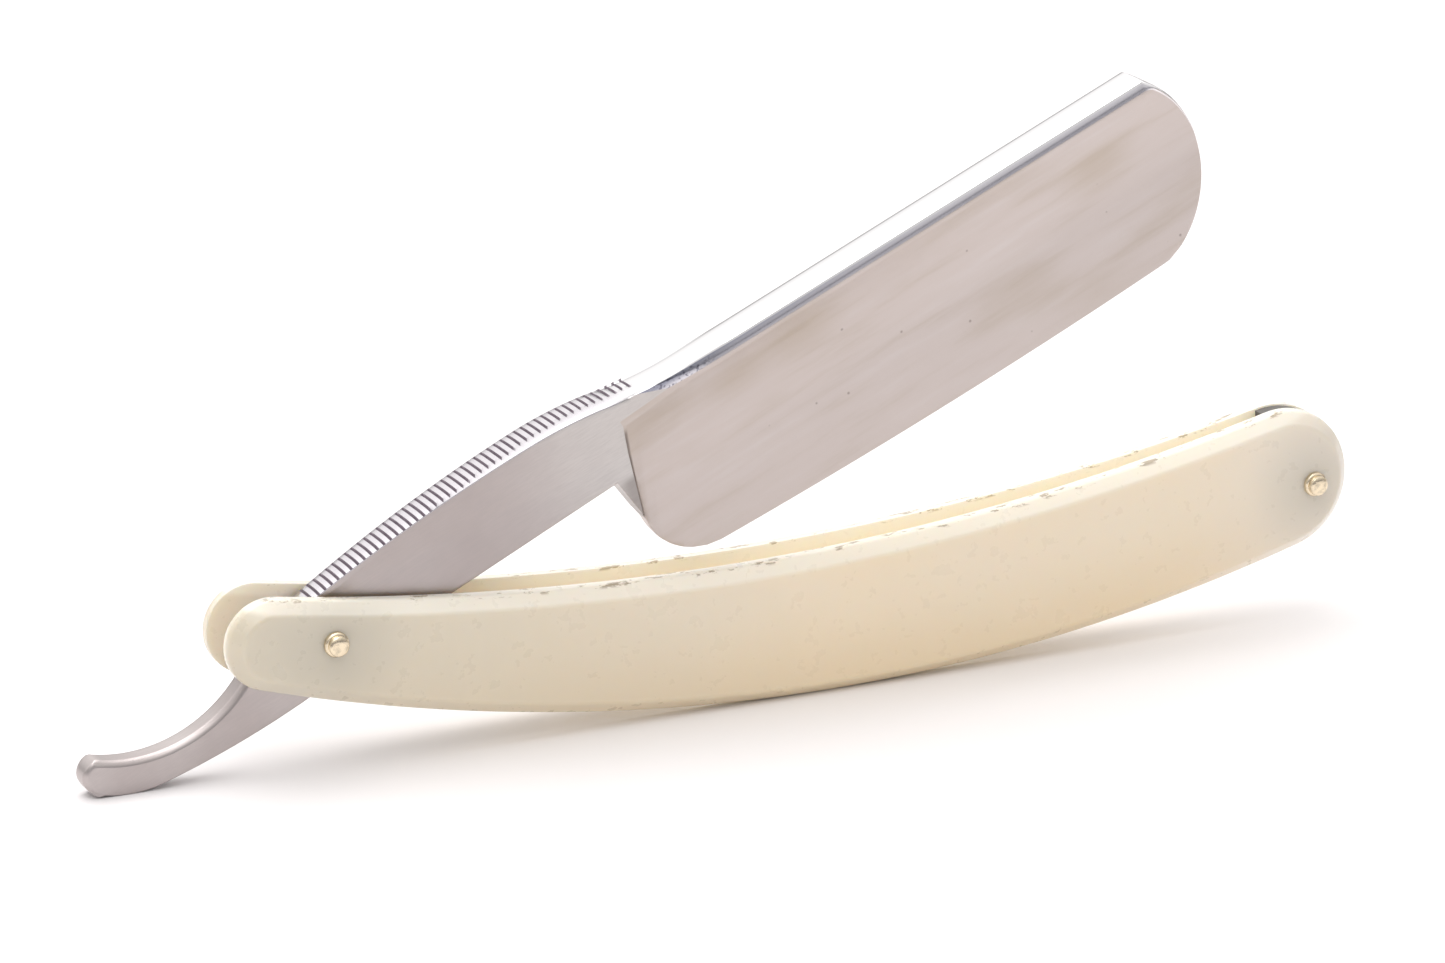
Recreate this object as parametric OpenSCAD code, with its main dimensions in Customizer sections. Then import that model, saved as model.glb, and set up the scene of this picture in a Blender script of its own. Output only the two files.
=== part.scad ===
// Straight razor: a hollow-ground blade folding between two curved scales.
// X runs along the razor from the tail to the wedge end, Y across its thickness, Z up.
// The razor stands on the tip of the tail and on the belly of the scales.

/* [Pose] */
// Angle of the spine above the line through the two pins, in degrees
open_angle = 24.5; // [15:0.5:40]

/* [Scales] */
// Distance between the pivot pin and the wedge pin
pin_spacing = 128; // [118:1:154]
// Thickness of each scale
scale_t = 2.8; // [2.2:0.1:3.4]
// Rounding of the outer edges of each scale
scale_round = 1.5; // [0.8:0.1:1.8]
// Radius of the end round the pivot
pivot_end_r = 5.4; // [5:0.1:6.5]
// Radius of the end round the wedge
wedge_end_r = 8.8; // [7.5:0.1:10]
// How far the pivot end's centre lies beyond the pivot pin
pivot_end_out = 7.2; // [6:0.1:9]
// How far the wedge end's centre lies short of the wedge pin
wedge_end_in = 3.6; // [3:0.1:5]
// Height of both ends' centres above the line through the pins
end_rise = 0.5; // [0:0.1:1.5]
// Radius of the long convex bottom edge
belly_r = 240; // [200:5:300]
// Radius of the long hollow top edge
hollow_top_r = 330; // [280:5:400]

/* [Gap between the scales] */
// Room left across the razor for the pieces at the pivot
pivot_play = 0.2; // [0.18:0.01:0.3]
// Gap between the scales at the wedge pin
wedge_gap = 1.8; // [1.6:0.1:2.4]
// Thickness of each inner washer
washer_t = 0.6; // [0.4:0.05:0.8]
// Radius of each inner washer
washer_r = 3.2; // [2.6:0.1:3.8]
// Distance from the nose of the blade to the wedge
nose_room = 1.4; // [1:0.1:2.5]
// How far the wedge lies inside the scales' edge
wedge_inset = 0.25; // [0.1:0.05:0.6]

/* [Pins and collars] */
// Diameter of both pins
pin_d = 1.6; // [1.4:0.1:2]
// Radius of a peened pin head
head_r = 1.2; // [1.05:0.05:1.4]
// Height of a peened pin head above its collar
head_h = 0.8; // [0.5:0.1:1]
// Height of the dome on top of a pin head
dome_h = 0.35; // [0.2:0.05:0.45]
// Radius of a collar
collar_r = 1.5; // [1.45:0.05:1.9]
// Height of a collar
collar_h = 0.6; // [0.4:0.05:0.8]
// Radial clearance round the pins
pin_clearance = 0.05; // [0.03:0.01:0.08]
// Smallest gap between pieces that sit on each other
seat_clearance = 0.02; // [0.01:0.01:0.05]

/* [Blade] */
// Length of the blade from its heel to its nose
blade_l = 81; // [70:0.5:86]
// Height of the spine above the pivot
spine_h = 5; // [4:0.1:6]
// Height of the blade from the spine to the lowest point of the edge
blade_h = 23.9; // [20:0.1:26]
// Thickness of the spine
spine_t = 6; // [5:0.1:6.6]
// Height of the flat honing bevel on each side of the spine
bevel_h = 1.6; // [1:0.1:2.4]
// Radius of the hollow grinding
grind_r = 32; // [28:1:40]
// Thickness of the blade where the hollow is thinnest
web_t = 0.6; // [0.5:0.05:0.9]
// Thickness left at the cutting edge
edge_t = 0.12; // [0.08:0.01:0.2]
// Radius of the slight smile of the cutting edge
smile_r = 800; // [500:50:1200]
// Distance from the heel to the lowest point of the cutting edge
smile_at = 48; // [30:1:60]
// Radius of the nose
nose_r = 14.5; // [13:0.5:16]
// Depth of the nose's centre below the pivot
nose_drop = 5.4; // [4:0.1:7]
// Radius of the heel corner
heel_r = 8; // [5:0.5:9]
// Lean of the shoulder, in degrees
shoulder_lean = 12; // [0:1:20]

/* [Tang and tail] */
// Distance from the pivot to the heel of the blade
tang_l = 40; // [36:0.5:44]
// Thickness of the lower tang
tang_t = 3.7; // [3.2:0.1:4]
// Thickness of the tang's top edge beside the pivot
thumb_t = 4; // [3.6:0.1:4.4]
// Depth of the tang below the pivot at the shoulder
tang_drop = 3.6; // [3:0.1:4.4]
// How far the notch behind the heel cuts back
notch = 1.4; // [0.5:0.1:2.5]
// Height of the thumb rest above the spine
thumb_h = 2.1; // [1:0.1:3]
// Distance from the pivot to the highest point of the thumb rest
thumb_at = 31; // [26:0.5:34]
// Radius of the thumb rest towards the pivot
thumb_rear_r = 200; // [150:10:300]
// Radius of the thumb rest towards the blade
thumb_front_r = 54; // [40:2:70]
// Radius that blends the thumb rest into the spine
blend_r = 49; // [30:1:60]
// Number of grooves across the thumb rest
groove_count = 49; // [1:1:52]
// Distance between grooves
groove_pitch = 0.93; // [0.8:0.01:1]
// Depth of a groove
groove_depth = 0.3; // [0.15:0.05:0.35]
// Distance from the pivot to the end of the tail
tail_l = 32.2; // [28:0.2:38]
// Thickness of the tail at its end
tail_t = 3.2; // [2.6:0.1:3.6]
// Depth of the tail's hollow top below the pivot
tail_dip = 2.1; // [1:0.1:2.6]
// Depth of the tail's underside below the pivot
tail_drop = 6; // [5.2:0.1:7]
// Radius of the tail's hollow top
tail_top_r = 17; // [14:0.5:20]
// Radius of the tail's underside
tail_under_r = 110; // [80:5:140]
// Radius where the underside turns up at the end
tail_end_r = 14; // [10:0.5:18]

/* [Hidden] */

// Facets of a whole turn on the long arcs and on small round pieces
long_fn = 720;
small_fn = 64;
// Past-the-edge length of cutting shapes
over = 1;
// Length that reaches across the whole object
reach = 40;
// How far the round ends of a scale stand proud of its long arcs, so that they cross cleanly
lap = 0.05;

function polar(r, a) = r * [cos(a), sin(a)];
function heading(v) = atan2(v[1], v[0]);
function turned(p, a) = [p[0] * cos(a) - p[1] * sin(a), p[0] * sin(a) + p[1] * cos(a)];
function arc(c, r, from, to, n) = [for (i = [0:n]) c + polar(r, from + (to - from) * i / n)];
// Height of the lower half of a circle at x
function underside(c, r, x) = c[1] - sqrt(r * r - pow(x - c[0], 2));
// Where two circles cross, to the left of the way from c1 to c2 when side is 1
function crossing(c1, r1, c2, r2, side) =
    let (d = norm(c2 - c1))
    let (along = (r1 * r1 - r2 * r2 + d * d) / (2 * d))
    let (off = sqrt(r1 * r1 - along * along))
    let (u = (c2 - c1) / d)
    c1 + along * u + side * off * [-u[1], u[0]];

// Scales, seen from the front with the pivot pin at the origin
pivot_end = [-pivot_end_out, end_rise];
wedge_end = [pin_spacing - wedge_end_in, end_rise];
belly_c = crossing(pivot_end, belly_r - pivot_end_r, wedge_end, belly_r - wedge_end_r, 1);
top_c = crossing(pivot_end, hollow_top_r + pivot_end_r, wedge_end, hollow_top_r + wedge_end_r, 1);
belly_from = heading(pivot_end - belly_c);
belly_to = heading(wedge_end - belly_c);
top_from = heading(pivot_end - top_c);
top_to = heading(wedge_end - top_c);

// Blade, with the pivot at the origin and the spine along X
edge_low = spine_h - blade_h;
smile_c = [tang_l + smile_at, edge_low + smile_r];
heel_x = tang_l + heel_r;
heel_c = [heel_x, underside(smile_c, smile_r - heel_r, heel_x)];
heel_to = heading(heel_c - smile_c);
nose_c = [tang_l + blade_l - nose_r, -nose_drop];
nose_low = crossing(nose_c, nose_r, smile_c, smile_r, -1);
nose_top = asin((spine_h + nose_drop) / nose_r);
nose_reach = norm(nose_c) + nose_r;

thumb_top = [thumb_at, spine_h + thumb_h];
thumb_rear_c = thumb_top - [0, thumb_rear_r];
thumb_front_c = thumb_top - [0, thumb_front_r];
blend_turn = acos(1 - thumb_h / (thumb_front_r + blend_r));
blend_c = [thumb_at + (thumb_front_r + blend_r) * sin(blend_turn), spine_h + blend_r];

// Tail: how far in from its end each feature of its outline lies, and the height of its tip
tail_hollow_in = 13.1;
tail_tip_in = 1.3;
tail_tip_h = 1.3;
tail_foot_in = 0.55;
tail_turn_in = 8.2;
tail_low_in = 21;
// Where the tail's underside ends and the straight underside of the tang starts
tang_start_x = 7.4;
tail_top_c = [-tail_l + tail_hollow_in, tail_top_r - tail_dip];
tail_root = crossing(tail_top_c, tail_top_r, thumb_rear_c, thumb_rear_r, 1);
tail_tip_x = -tail_l + tail_tip_in;
tail_tip = [tail_tip_x, underside(tail_top_c, tail_top_r, tail_tip_x)];
tail_under_c = [-tail_l + tail_low_in, tail_under_r - tail_drop];
tail_turn_x = -tail_l + tail_turn_in;
tail_turn = [tail_turn_x, underside(tail_under_c, tail_under_r, tail_turn_x)];
tail_end_c = tail_turn + tail_end_r * (tail_under_c - tail_turn) / tail_under_r;
tail_foot_x = -tail_l + tail_foot_in;
tang_start = [tang_start_x, underside(tail_under_c, tail_under_r, tang_start_x)];

blade_outline = concat(
    [[tang_l - notch, -tang_drop]],
    arc(heel_c, heel_r, -180, heel_to, 10),
    arc(smile_c, smile_r, heel_to, heading(nose_low - smile_c), 12),
    arc(nose_c, nose_r, heading(nose_low - nose_c), nose_top, 24),
    arc(blend_c, blend_r, -90, -90 - blend_turn, 5),
    arc(thumb_front_c, thumb_front_r, 90 - blend_turn, 90, 5),
    arc(thumb_rear_c, thumb_rear_r, 90, heading(tail_root - thumb_rear_c), 12),
    arc(tail_top_c, tail_top_r, heading(tail_root - tail_top_c), heading(tail_tip - tail_top_c), 20),
    [[-tail_l, tail_tip_h]],
    arc(tail_end_c, tail_end_r, -180 + acos((tail_end_c[0] - tail_foot_x) / tail_end_r),
        heading(tail_turn - tail_end_c), 10),
    arc(tail_under_c, tail_under_r, heading(tail_turn - tail_under_c), heading(tang_start - tail_under_c), 10)
);

// Cross-section of the blade: a wedge from the edge to the spine, hollowed on both sides
edge_half = edge_t / 2;
wedge_slope = (spine_t / 2 - edge_half) / blade_h;
function blade_half(z) = edge_half + (z - edge_low) * wedge_slope;
bevel_low = spine_h - bevel_h;
grind_y = web_t / 2 + grind_r;
grind_z = bevel_low - sqrt(pow(grind_r, 2) - pow(grind_y - blade_half(bevel_low), 2));

// Shoulder: the slanted end of the hollow, how far it lies beyond the heel, and the flare of the tang's top
shoulder_in = 1.6;
function shoulder_x(z) = tang_l + shoulder_in + z * tan(shoulder_lean);
tang_flare = 0.16;
tang_mid = thumb_t / 2 - tang_flare * spine_h;
bevel_mid = spine_h - bevel_h / 2;
tang_widen = (blade_half(bevel_mid) - tang_mid - tang_flare * bevel_mid) / shoulder_x(bevel_mid);

// Across the razor. The tang's top flares out, and its flare may reach the washers
washer_seat_t = max(tang_t, 2 * (tang_mid + washer_r * norm([tang_flare, tang_widen])));
pivot_gap = washer_seat_t + 2 * washer_t + pivot_play;
splay = atan((pivot_gap - wedge_gap) / 2 / pin_spacing);
function half_gap(x) = pivot_gap / 2 - x * tan(splay);
function outer_face(x) = half_gap(x) + scale_t / cos(splay);
function collar_base(x) = outer_face(x) + collar_r * tan(splay) + seat_clearance;
bore_r = pin_d / 2 + pin_clearance;

// Where the razor stands: the floor touches the turned-up tail and the belly of the scales
tail_rest = turned(tail_end_c, open_angle);
floor_way = belly_c - tail_rest;
floor_angle = heading(floor_way) - asin((belly_r - tail_end_r) / norm(floor_way));
tail_far = min([for (p = blade_outline) turned(p, open_angle - floor_angle)[0]]);
wedge_far = turned(wedge_end, -floor_angle)[0] + wedge_end_r + lap;
mid_x = (tail_far + wedge_far) / 2;
pivot_z = tail_end_r - turned(tail_rest, -floor_angle)[1];

module standing() {
    translate([-mid_x, 0, pivot_z]) rotate([0, floor_angle, 0]) children();
}

// Puts a drawing of the side view upright, with its thickness along Y
module upright() {
    rotate([90, 0, 0]) children();
}

// Draws a cross-section of Y and Z and pulls it along X
module pulled_along_x(from, to) {
    rotate([90, 0, 90]) translate([0, 0, from]) linear_extrude(to - from) children();
}

module pin_hole(x) {
    translate([x, 0, 0]) upright() cylinder(r = bore_r, h = 2 * reach, center = true, $fn = small_fn);
}

// Area that the long arcs of a scale bound, from one end's centre to the other's
module between_ends() {
    polygon([
        pivot_end, pivot_end - polar(reach, top_from), wedge_end - polar(reach, top_to),
        wedge_end, wedge_end + polar(reach, belly_to), pivot_end + polar(reach, belly_from)
    ]);
}

// Outline of a scale, drawn inwards by inset
module scale_outline(inset) {
    translate(pivot_end) circle(pivot_end_r - inset, $fn = long_fn);
    translate(wedge_end) circle(wedge_end_r - inset, $fn = long_fn);
    difference() {
        intersection() {
            translate(belly_c) circle(belly_r - inset, $fn = long_fn);
            between_ends();
        }
        translate(top_c) circle(hollow_top_r + inset, $fn = long_fn);
    }
}

// What rounds an edge of radius r on the upper side of a scale: inside the edge, or outside it
module edge_cutter(r, inside) {
    corner_r = inside ? r - scale_round : r + scale_round;
    translate([0, 0, scale_t - scale_round]) rotate_extrude($fn = long_fn) difference() {
        translate([min(corner_r, r - over), 0]) square(scale_round + over);
        translate([corner_r, 0]) circle(scale_round, $fn = small_fn);
    }
}

module rounded_disc(c, r) {
    translate(c) difference() {
        cylinder(r = r, h = scale_t, $fn = long_fn);
        edge_cutter(r, true);
    }
}

module flat_scale() {
    rounded_disc(pivot_end, pivot_end_r + lap);
    rounded_disc(wedge_end, wedge_end_r + lap);
    difference() {
        intersection() {
            rounded_disc(belly_c, belly_r);
            linear_extrude(2 * scale_t) between_ends();
        }
        translate(top_c) {
            translate([0, 0, -over]) cylinder(r = hollow_top_r, h = scale_t + 2 * over, $fn = long_fn);
            edge_cutter(hollow_top_r, false);
        }
    }
}

// The front scale, before it is stood up
module hung_scale() {
    difference() {
        translate([0, -pivot_gap / 2, 0]) rotate([0, 0, splay]) upright() flat_scale();
        pin_hole(0);
        pin_hole(pin_spacing);
    }
}

module front_scale() {
    color("ivory") standing() hung_scale();
}

module back_scale() {
    color("ivory") standing() mirror([0, 1, 0]) hung_scale();
}

// Spacer that fills the tapering gap beyond the blade's nose
module wedge() {
    near_x = nose_reach / 2;
    far_x = pin_spacing + wedge_end_r;
    near_y = half_gap(near_x) - seat_clearance;
    far_y = half_gap(far_x) - seat_clearance;
    color("dimgray") standing() difference() {
        intersection() {
            upright() linear_extrude(2 * pivot_gap, center = true) difference() {
                scale_outline(wedge_inset);
                circle(nose_reach + nose_room, $fn = long_fn);
            }
            linear_extrude(2 * reach, center = true)
                polygon([[near_x, -near_y], [far_x, -far_y], [far_x, far_y], [near_x, near_y]]);
        }
        pin_hole(pin_spacing);
    }
}

module pin_head() {
    dome_r = (pow(head_r, 2) + pow(dome_h, 2)) / (2 * dome_h);
    intersection() {
        cylinder(r = head_r, h = head_h, $fn = small_fn);
        translate([0, 0, head_h - dome_r]) sphere(dome_r, $fn = small_fn);
    }
}

// A rod with a peened head at each end
module pin(x) {
    head_base = collar_base(x) + collar_h + seat_clearance;
    color("khaki") standing() translate([x, 0, 0]) upright() {
        cylinder(d = pin_d, h = 2 * head_base + head_h, center = true, $fn = small_fn);
        translate([0, 0, head_base]) pin_head();
        mirror([0, 0, 1]) translate([0, 0, head_base]) pin_head();
    }
}

// A ring round a pin, from base outwards; side is 1 at the front and -1 at the back
module ring(x, side, base, r, h, rounding) {
    standing() translate([x, -side * base, 0]) rotate([side * 90, 0, 0]) rotate_extrude($fn = small_fn)
        difference() {
            union() {
                square([r, h - rounding]);
                square([r - rounding, h]);
                translate([r - rounding, h - rounding]) circle(rounding, $fn = small_fn);
            }
            translate([0, -over]) square([bore_r, h + 2 * over]);
        }
}

module collar(x, side) {
    color("khaki") ring(x, side, collar_base(x), collar_r, collar_h, collar_h / 2);
}

module washer(side) {
    base = half_gap(washer_r) - seat_clearance - washer_t;
    color("goldenrod") standing() translate([0, -side * base, 0]) rotate([side * 90, 0, 0]) difference() {
        cylinder(r = washer_r, h = washer_t, $fn = small_fn);
        translate([0, 0, -over]) cylinder(r = bore_r, h = washer_t + 2 * over, $fn = small_fn);
    }
}

// Tang and tail below the thumb rest
module tang_core() {
    linear_extrude(2 * reach, center = true) polygon([
        [-tail_l - over, -tail_t / 2], [-washer_r, -tang_t / 2], [shoulder_x(spine_h), -tang_t / 2],
        [shoulder_x(spine_h), tang_t / 2], [-washer_r, tang_t / 2], [-tail_l - over, tail_t / 2]
    ]);
}

// Everything on the near side of one flared face of the tang
module flared_side() {
    low = -reach / 2;
    high = reach / 2;
    face = [tang_mid + low * tang_flare, tang_mid + high * tang_flare] * cos(atan(tang_widen));
    rotate([0, 0, atan(tang_widen)]) pulled_along_x(-reach, shoulder_x(spine_h))
        polygon([[-reach, low], [face[0], low], [face[1], high], [-reach, high]]);
}

// Side view of everything beyond the shoulder
module beyond_shoulder() {
    upright() linear_extrude(2 * reach, center = true) polygon([
        [shoulder_x(-reach), -reach], [nose_reach + reach, -reach],
        [nose_reach + reach, reach], [shoulder_x(reach), reach]
    ]);
}

module blade_wedge() {
    top = spine_h + thumb_h + over;
    intersection() {
        pulled_along_x(0, nose_reach + over) polygon([
            [-edge_half, edge_low - over], [edge_half, edge_low - over], [edge_half, edge_low],
            [spine_t / 2, spine_h], [spine_t / 2, top], [-spine_t / 2, top],
            [-spine_t / 2, spine_h], [-edge_half, edge_low]
        ]);
        beyond_shoulder();
    }
}

// What the grinding takes off the back side of the blade
module hollow() {
    intersection() {
        union() {
            translate([0, grind_y, grind_z]) rotate([0, 90, 0])
                cylinder(r = grind_r, h = nose_reach + over, $fn = long_fn);
            pulled_along_x(0, nose_reach + over) polygon([
                [web_t / 2, grind_z], [edge_half, edge_low], [edge_half, edge_low - over],
                [spine_t, edge_low - over], [spine_t, grind_z]
            ]);
        }
        beyond_shoulder();
    }
}

// Distance from the pivot to the first groove
groove_start = 0.6;
// Point on the thumb rest at a distance s along it from its top, and the heading of its surface's normal
thumb_front_l = thumb_front_r * blend_turn * PI / 180;
function degrees_along(s, r) = s / r * 180 / PI;
function thumb_normal(s) =
    s < 0 ? 90 - degrees_along(s, thumb_rear_r) :
    s < thumb_front_l ? 90 - degrees_along(s, thumb_front_r) :
    90 - blend_turn + degrees_along(s - thumb_front_l, blend_r);
function thumb_point(s) =
    s < 0 ? thumb_rear_c + polar(thumb_rear_r, thumb_normal(s)) :
    s < thumb_front_l ? thumb_front_c + polar(thumb_front_r, thumb_normal(s)) :
    blend_c - polar(blend_r, thumb_normal(s));

module thumb_grooves() {
    first = groove_start - thumb_at;
    side = groove_depth * sqrt(2);
    for (i = [0:groove_count - 1]) {
        p = thumb_point(first + i * groove_pitch);
        translate([p[0], 0, p[1]]) rotate([0, 45 - thumb_normal(first + i * groove_pitch), 0])
            cube([side, 2 * spine_t, side], center = true);
    }
}

module blade() {
    color("silver") standing() rotate([0, -open_angle, 0]) difference() {
        intersection() {
            upright() linear_extrude(2 * spine_t, center = true) polygon(blade_outline);
            union() {
                tang_core();
                intersection() {
                    flared_side();
                    mirror([0, 1, 0]) flared_side();
                }
                blade_wedge();
            }
        }
        hollow();
        mirror([0, 1, 0]) hollow();
        thumb_grooves();
        pin_hole(0);
    }
}

blade();
front_scale();
back_scale();
wedge();
pin(0);  // pivot_pin
pin(pin_spacing);  // wedge_pin
washer(1);  // pivot_washer_front
washer(-1);  // pivot_washer_back
collar(0, 1);  // pivot_collar_front
collar(0, -1);  // pivot_collar_back
collar(pin_spacing, 1);  // wedge_collar_front
collar(pin_spacing, -1);  // wedge_collar_back
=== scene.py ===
import math

import bmesh
import bpy
from mathutils import Matrix, Vector


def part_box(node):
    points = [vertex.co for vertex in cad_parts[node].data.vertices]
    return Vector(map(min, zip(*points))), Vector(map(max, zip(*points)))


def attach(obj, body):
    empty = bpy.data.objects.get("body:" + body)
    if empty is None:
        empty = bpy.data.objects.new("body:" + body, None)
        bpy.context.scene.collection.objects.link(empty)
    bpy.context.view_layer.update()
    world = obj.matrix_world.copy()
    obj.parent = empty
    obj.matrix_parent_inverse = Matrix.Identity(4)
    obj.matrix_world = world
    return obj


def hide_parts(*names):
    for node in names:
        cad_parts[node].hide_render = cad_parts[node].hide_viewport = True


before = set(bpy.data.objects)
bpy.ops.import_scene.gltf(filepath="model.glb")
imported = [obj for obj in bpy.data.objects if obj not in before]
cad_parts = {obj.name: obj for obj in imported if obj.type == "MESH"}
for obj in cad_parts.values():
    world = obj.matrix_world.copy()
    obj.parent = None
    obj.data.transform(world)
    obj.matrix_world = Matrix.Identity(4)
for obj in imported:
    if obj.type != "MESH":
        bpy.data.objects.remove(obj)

scene = bpy.context.scene
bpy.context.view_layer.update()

# Pieces are drawn in millimetres round the pivot pin, then placed in metres
millimetre = 0.001
openAngle = math.radians(24.5)
pivotPoint = sum(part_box("pivot_pin"), Vector()) / 2
wedgePoint = sum(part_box("wedge_pin"), Vector()) / 2
handleTilt = math.atan2(wedgePoint.z - pivotPoint.z, wedgePoint.x - pivotPoint.x)


def placing(tilt):
    turn = Matrix.Rotation(-tilt, 4, "Y")
    return Matrix.Translation(pivotPoint) @ turn @ Matrix.Scale(millimetre, 4)


handlePlace = placing(handleTilt)
bladeTilt = handleTilt + openAngle
bladePlace = placing(bladeTilt)
pinSpacing = (wedgePoint - pivotPoint).length / millimetre


class Wire:  # a socket that takes part in sums
    def __init__(self, finish, socket):
        self.finish = finish
        self.socket = socket

    def sum(self, operation, *others):
        return self.finish.node("ShaderNodeMath", {"operation": operation}, [self, *others])

    def __add__(self, other):
        return self.sum("ADD", other)

    __radd__ = __add__

    def __sub__(self, other):
        return self.sum("SUBTRACT", other)

    def __rsub__(self, other):
        return self.finish.node("ShaderNodeMath", {"operation": "SUBTRACT"}, [other, self])

    def __mul__(self, other):
        return self.sum("MULTIPLY", other)

    __rmul__ = __mul__

    def __abs__(self):
        return self.sum("ABSOLUTE")


class Finish:  # a node tree, and what the finishes below need from it
    def __init__(self, owner):
        self.owner = owner
        owner.use_nodes = True
        self.tree = owner.node_tree
        self.tree.nodes.clear()

    def node(self, kind, settings=None, inputs=(), output=0):
        made = self.tree.nodes.new(kind)
        for name, value in (settings or {}).items():
            setattr(made, name, value)
        pairs = inputs.items() if isinstance(inputs, dict) else enumerate(inputs)
        for name, value in pairs:
            if isinstance(value, Wire):
                self.tree.links.new(value.socket, made.inputs[name])
            elif value is not None:
                made.inputs[name].default_value = value
        return Wire(self, made.outputs[output]) if len(made.outputs) else None

    def coords(self, turn=0.0, centre=(0, 0, 0)):
        # Object coordinates in millimetres from a centre, turned about Y
        scale = 1 / millimetre
        place = self.node("ShaderNodeTexCoord", output="Object")
        moved = self.node("ShaderNodeVectorMath", {"operation": "SUBTRACT"}, [place, tuple(centre)])
        return self.node("ShaderNodeMapping", {}, {
            "Vector": moved, "Rotation": (0, turn, 0), "Scale": (scale, scale, scale)})

    def stretched(self, place, stretch):
        return self.node("ShaderNodeVectorMath", {"operation": "MULTIPLY"}, [place, stretch])

    def noise(self, place, scale, detail=2.0, roughness=0.5):
        return self.node("ShaderNodeTexNoise", {}, {
            "Vector": place, "Scale": scale, "Detail": detail, "Roughness": roughness})

    def ramp(self, factor, low, high, a=0.0, b=1.0, kind="SMOOTHSTEP"):
        return self.node("ShaderNodeMapRange", {"interpolation_type": kind}, {
            "Value": factor, "From Min": low, "From Max": high, "To Min": a, "To Max": b})

    def mix(self, factor, a, b):
        made = self.tree.nodes.new("ShaderNodeMix")
        made.data_type = "RGBA"
        for name, value in ((0, factor), (6, a), (7, b)):
            if isinstance(value, Wire):
                self.tree.links.new(value.socket, made.inputs[name])
            else:
                made.inputs[name].default_value = value if name == 0 else (*value, 1.0)
        return Wire(self, made.outputs[2])

    def parts(self, place):
        made = self.tree.nodes.new("ShaderNodeSeparateXYZ")
        self.tree.links.new(place.socket, made.inputs[0])
        return [Wire(self, made.outputs[i]) for i in range(3)]

    def reach(self, place, centre):
        ends = [place, tuple(centre)]
        return self.node("ShaderNodeVectorMath", {"operation": "DISTANCE"}, ends, "Value")

    def spot(self, place, centre, near, far):
        # 1 within the near distance of a place, 0 beyond the far one
        return self.ramp(self.reach(place, centre), near, far, 1.0, 0.0)

    def bump(self, height, distance, strength=1.0):
        return self.node("ShaderNodeBump", {}, {
            "Height": height, "Distance": distance * millimetre, "Strength": strength})

    def surface(self, **inputs):
        # Each key is the name of a socket, run together
        values = {}
        for key, value in inputs.items():
            spaced = "".join(" " + c if c.isupper() else c for c in key)
            values[spaced[0].upper() + spaced[1:]] = value
        shader = self.node("ShaderNodeBsdfPrincipled", {}, values)
        self.node("ShaderNodeOutputMaterial", {}, {"Surface": shader})
        return self.owner


def newFinish(name):
    return Finish(bpy.data.materials.new(name))


# Where the shoulder's line meets the crease, and how much it slants
shoulderHeight = 2.45
shoulderSlant = 0.196


def makeGroundSteel():
    finish = newFinish("groundSteel")
    place = finish.coords(turn=bladeTilt, centre=pivotPoint)
    x, z = finish.parts(place)[::2]
    streaks = finish.noise(finish.stretched(place, (0.05, 0.05, 0.55)), 1.0, 5.0, 0.6)
    patches = finish.noise(finish.stretched(place, (0.035, 0.1, 0.11)), 1.0, 3.0, 0.55)
    grain = finish.noise(finish.stretched(place, (7.0, 7.0, 0.5)), 1.0, 2.0, 0.5)
    brown = finish.ramp(patches, 0.52, 0.75) * 0.4 + finish.ramp(streaks, 0.5, 0.75) * 0.35
    colour = finish.mix(brown, (0.56, 0.50, 0.475), (0.45, 0.385, 0.32))
    colour = finish.mix(finish.ramp(streaks, 0.25, 0.5, 0.4, 0.0), colour, (0.60, 0.56, 0.55))
    # Stains, longer than they are high: place along, height, size and depth of colour
    squash = 0.6
    squashed = finish.stretched(place, (squash, 0.2, 1.0))
    stains = ((108, -2.5, 7.5, 0.4), (66, 0.6, 8.0, 0.35), (57, -0.2, 6.0, 0.3), (92, -11, 9.0, 0.22))
    for along, height, size, depth in stains:
        stain = finish.spot(squashed, (along * squash, 0, height), 0.4, size * squash)
        colour = finish.mix(stain * depth * (0.5 + streaks), colour, (0.42, 0.35, 0.27))
    specks = finish.node("ShaderNodeTexVoronoi", {"feature": "F1"},
                         {"Vector": place, "Scale": 0.21, "Randomness": 1.0}, "Distance")
    speckMask = finish.ramp(specks, 0.02, 0.05, 1.0, 0.0)
    colour = finish.mix(speckMask * 0.55, colour, (0.2, 0.17, 0.15))
    # Painted shade: a dark line down the shoulder, low on the blade, where the hollow's end wall meets the
    # tang
    shoulder = abs(x - 42.1 - (z - shoulderHeight) * shoulderSlant) + 0.25 * streaks
    line = finish.ramp(shoulder, 0.2, 0.55, 1.0, 0.0) * finish.ramp(z, 2.2, 1.2)
    colour = finish.mix(line * 0.75, colour, (0.17, 0.14, 0.13))
    roughness = 0.27 + 0.1 * streaks + 0.05 * grain
    bump = finish.bump(grain, 0.012, 0.5)
    return finish.surface(baseColor=colour, metallic=1.0, roughness=roughness, normal=bump)


def makePolishedSteel():
    finish = newFinish("polishedSteel")
    place = finish.coords(turn=bladeTilt, centre=pivotPoint)
    lines = finish.noise(finish.stretched(place, (0.05, 1.2, 1.2)), 1.0, 2.0, 0.5)
    x = finish.parts(place)[0]
    thumb = finish.ramp(x, 47.0, 40.0)
    colour = finish.mix(lines, (0.78, 0.78, 0.80), (0.84, 0.83, 0.83))
    colour = finish.mix(thumb * 0.7, colour, (0.62, 0.59, 0.63))
    roughness = 0.07 + 0.05 * lines + 0.13 * thumb
    return finish.surface(baseColor=colour, metallic=1.0, roughness=roughness)


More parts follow.
